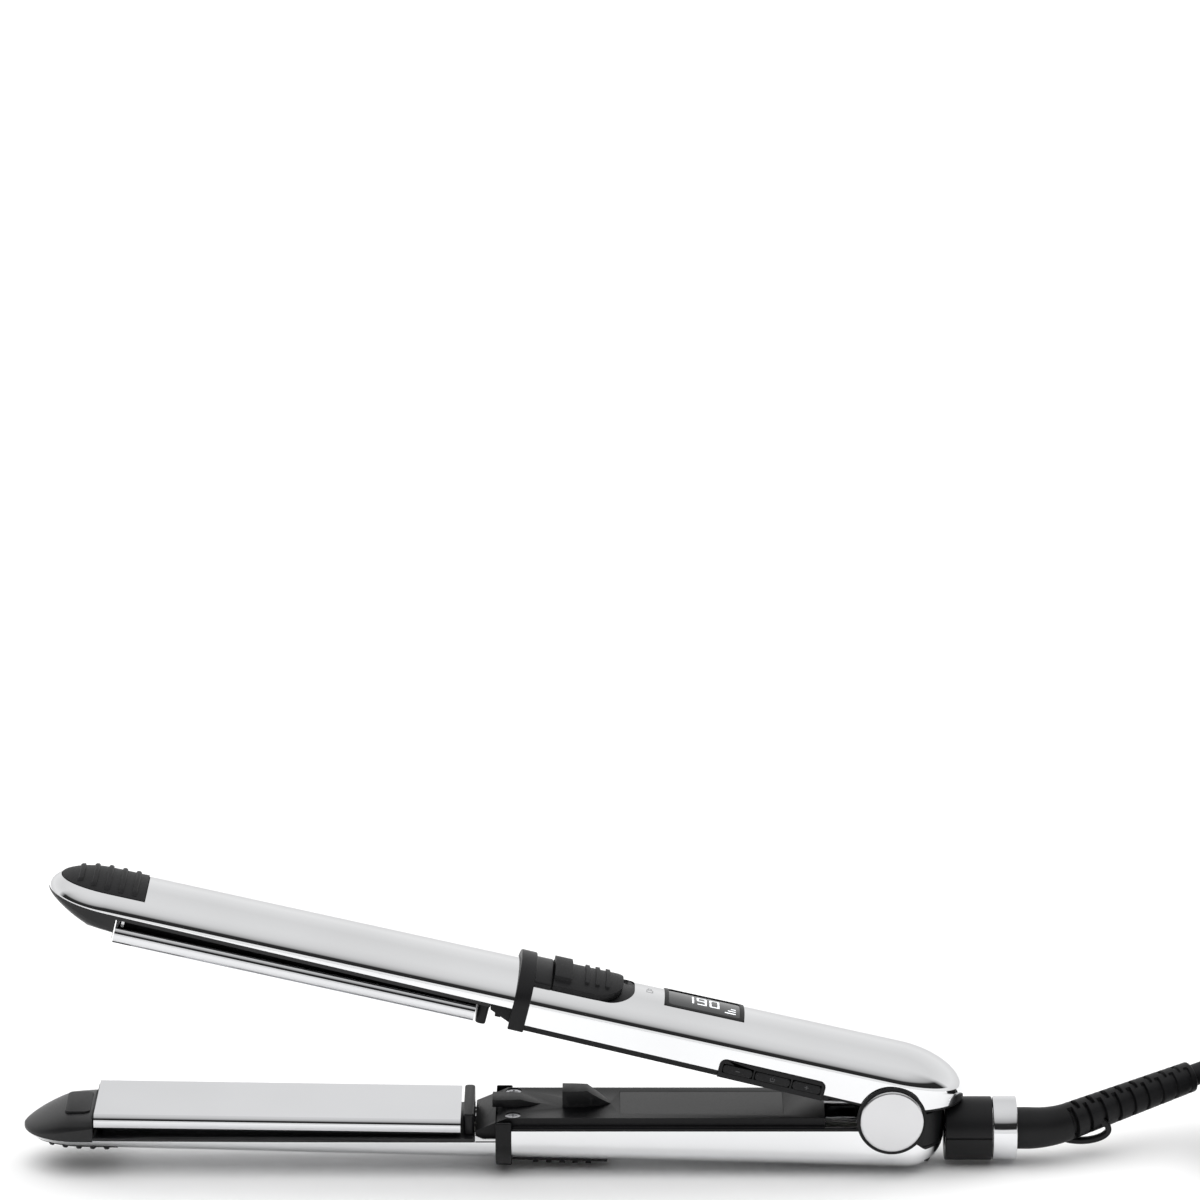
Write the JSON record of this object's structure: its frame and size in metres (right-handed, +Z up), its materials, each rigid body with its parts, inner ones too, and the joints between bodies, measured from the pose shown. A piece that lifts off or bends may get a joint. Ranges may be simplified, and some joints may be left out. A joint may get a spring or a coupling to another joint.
{
  "type": "curling iron",
  "caption": "Two-arm hair styler with chrome barrels, floating heating plates, lock slider, display, side buttons and a swivel cord with a coiled lead and plug.",
  "frame": {"origin": "on the surface it lies on, under the middle of the object without its boot and cord", "axes": "+X from the nose to the cord, +Y away from the buttons, +Z up"},
  "size_m": [0.528, 0.0584, 0.0913],
  "materials": {
    "chrome_shell": "polished chrome",
    "chrome_trim": "polished chrome",
    "plate_coating": "mirror-polished coated aluminium",
    "black_plastic": "fine satin black heat-proof plastic",
    "soft_grip": "satin black soft-touch rubber",
    "cord_rubber": "matt black rubber",
    "display_glass": "smoked glossy window",
    "display_back": "display panel with light digits",
    "label_film": "plain dark label",
    "steel": "steel",
    "brass": "brass",
    "board": "circuit board",
    "ceramic": "ceramic heater",
    "wire_jacket": "heat-proof sleeve"
  },
  "bodies": {
    "lower_arm": {"lower_shell": "chrome_shell", "lower_frame": "black_plastic", "lower_nose_inlay": "black_plastic", "lower_finger_pad": "soft_grip", "lower_end_block": "black_plastic", "lower_plate_springs": "steel", "lower_cover_screws": "steel", "lower_collar": "black_plastic", "lower_rear_grip": "soft_grip", "lower_inner_cover": "black_plastic", "rating_label": "label_film", "hinge_housing": "black_plastic", "lead_wires": "wire_jacket", "thermal_fuse": "wire_jacket", "hinge_pin": "steel", "opening_spring": "steel", "pivot_caps": "chrome_trim", "cap_rings": "black_plastic", "swivel_housing_upper": "black_plastic", "swivel_housing_lower": "black_plastic", "swivel_ring": "chrome_trim", "cord_coil": "cord_rubber", "cord_tie": "cord_rubber", "mains_cord": "cord_rubber", "plug_cord": "cord_rubber", "plug_body": "cord_rubber", "plug_pins": "brass"},
    "upper_arm": {"upper_shell": "chrome_shell", "upper_frame": "black_plastic", "upper_nose_inlay": "black_plastic", "upper_finger_pad": "soft_grip", "upper_end_block": "black_plastic", "upper_plate_springs": "steel", "upper_cover_screws": "steel", "upper_collar": "black_plastic", "upper_inner_cover": "black_plastic", "slot_liner": "black_plastic", "display_bezel": "black_plastic", "display_lens": "display_glass", "display_panel": "display_back", "button_bezel": "black_plastic", "button_switches": "board", "circuit_board": "board", "hinge_knuckle": "black_plastic", "hinge_bushes": "brass"},
    "lower_heating_plate": {"lower_plate": "plate_coating", "lower_heater": "ceramic"},
    "upper_heating_plate": {"upper_plate": "plate_coating", "upper_heater": "ceramic"},
    "lock": {"lock_slider": "soft_grip", "lock_bolt": "black_plastic"},
    "minus_key": {"button_minus": "soft_grip"},
    "power_key": {"button_power": "soft_grip"},
    "plus_key": {"button_plus": "soft_grip"},
    "swivel": {"swivel_core": "black_plastic", "boot": "cord_rubber", "cord_stub": "cord_rubber"}
  },
  "joints": [
    {"name": "arm_hinge", "type": "hinge", "parent": "lower_arm", "child": "upper_arm", "pos_m": [0.10685, 0, 0.018], "axis": [0, 1, 0], "range_deg": [-13, 0], "stiffness_Nm_per_rad": 0.8, "springref_deg": 28.65},
    {"name": "lock_slide", "type": "slide", "parent": "upper_arm", "child": "lock", "axis": [0.9707, 0, -0.2402], "range_m": [0, 0.0035]},
    {"name": "minus_press", "type": "slide", "parent": "upper_arm", "child": "minus_key", "axis": [0, 1, 0], "range_m": [0, 0.0006], "stiffness_N_per_m": 800},
    {"name": "power_press", "type": "slide", "parent": "upper_arm", "child": "power_key", "axis": [0, 1, 0], "range_m": [0, 0.0006], "stiffness_N_per_m": 800},
    {"name": "plus_press", "type": "slide", "parent": "upper_arm", "child": "plus_key", "axis": [0, 1, 0], "range_m": [0, 0.0006], "stiffness_N_per_m": 800},
    {"name": "upper_plate_float", "type": "slide", "parent": "upper_arm", "child": "upper_heating_plate", "axis": [0.2402, 0, 0.9707], "range_m": [0, 0.0005], "stiffness_N_per_m": 2500, "springref_m": -0.0004},
    {"name": "lower_plate_float", "type": "slide", "parent": "lower_arm", "child": "lower_heating_plate", "axis": [0, 0, -1], "range_m": [0, 0.0005], "stiffness_N_per_m": 2500, "springref_m": -0.0004},
    {"name": "cord_swivel", "type": "hinge", "parent": "lower_arm", "child": "swivel", "pos_m": [0.13185, 0, 0.00995], "axis": [1, 0, 0], "continuous": true}
  ]
}
